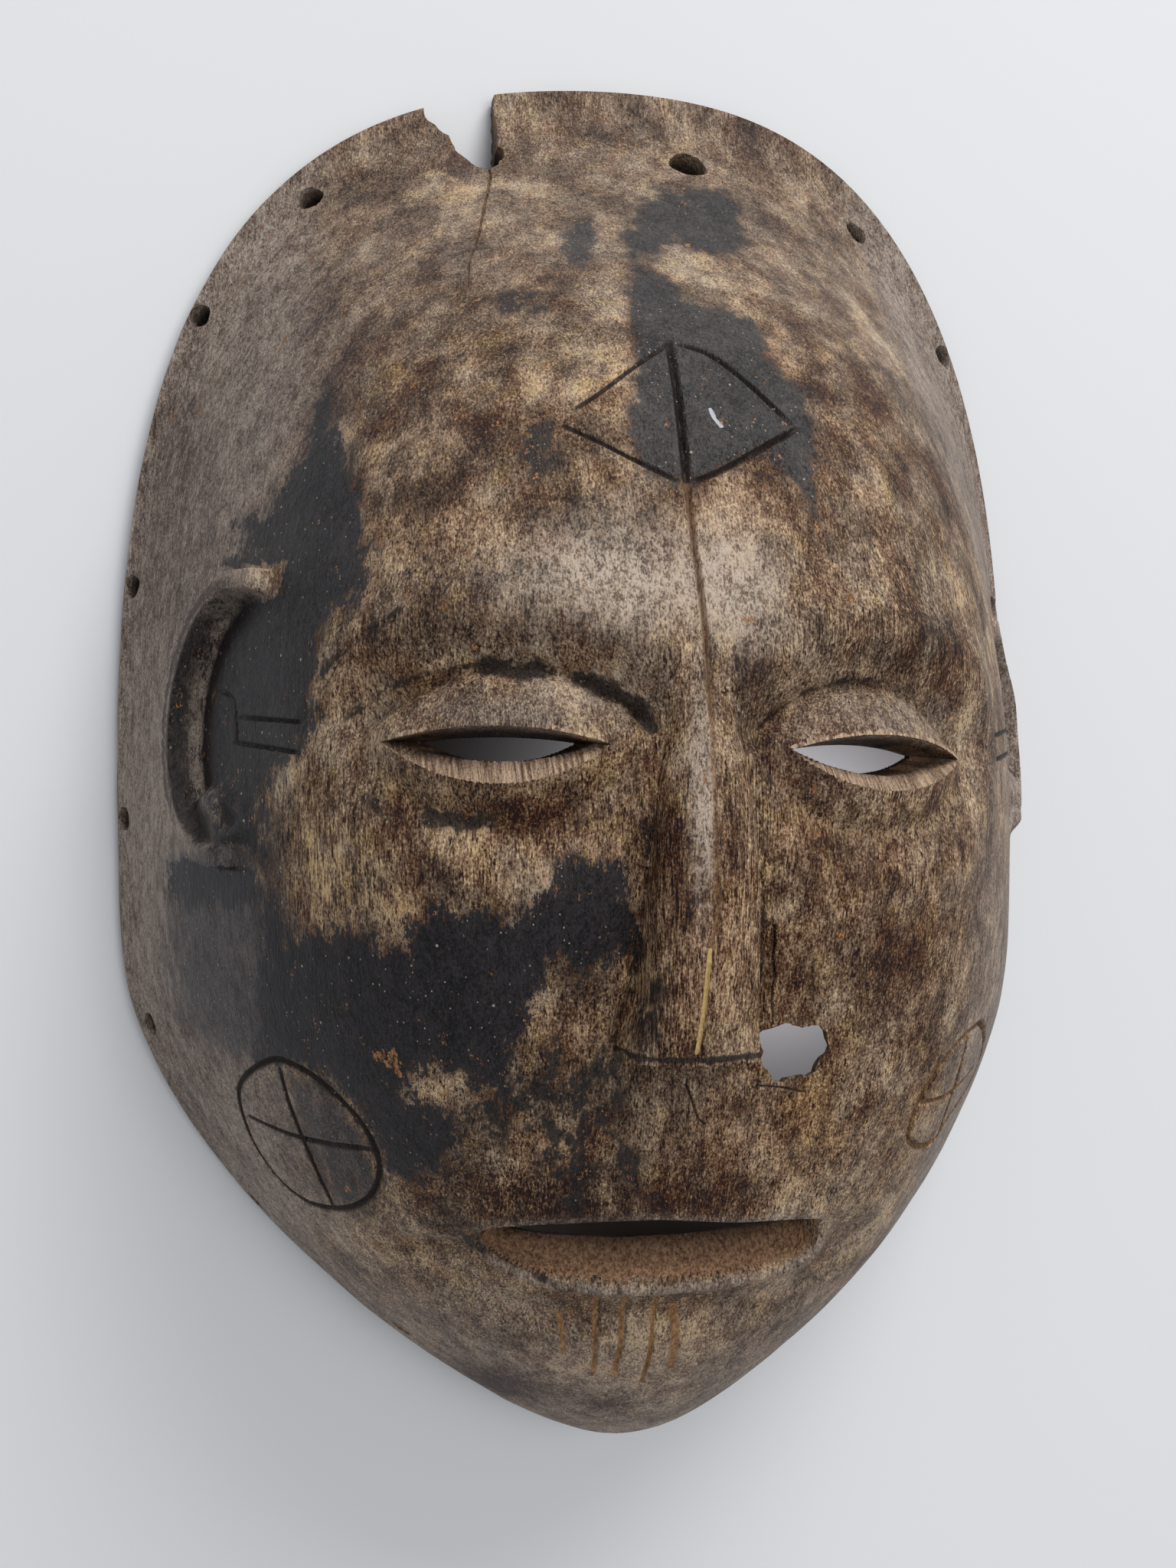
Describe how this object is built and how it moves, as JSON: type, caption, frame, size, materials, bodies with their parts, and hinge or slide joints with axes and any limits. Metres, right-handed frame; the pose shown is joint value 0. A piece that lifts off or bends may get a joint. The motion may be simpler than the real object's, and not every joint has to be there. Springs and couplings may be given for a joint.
{
  "type": "carved face mask",
  "caption": "Hollow carved wooden face mask with slit eyes, straight nose, slot mouth, raised ears, incised marks and a ring of cord holes along its flat rim.",
  "frame": {"origin": "centre of the footprint, on the plane of the flat rim", "axes": "+Z out of the face, +Y toward the forehead, +X to the right of someone looking at the face; the mask lies on its rim, face up"},
  "size_m": [0.169, 0.2484, 0.0925],
  "materials": {
    "wood": "worn matt, dark brown with charcoal patches"
  },
  "bodies": {
    "root": {"mask": "wood"}
  },
  "joints": []
}
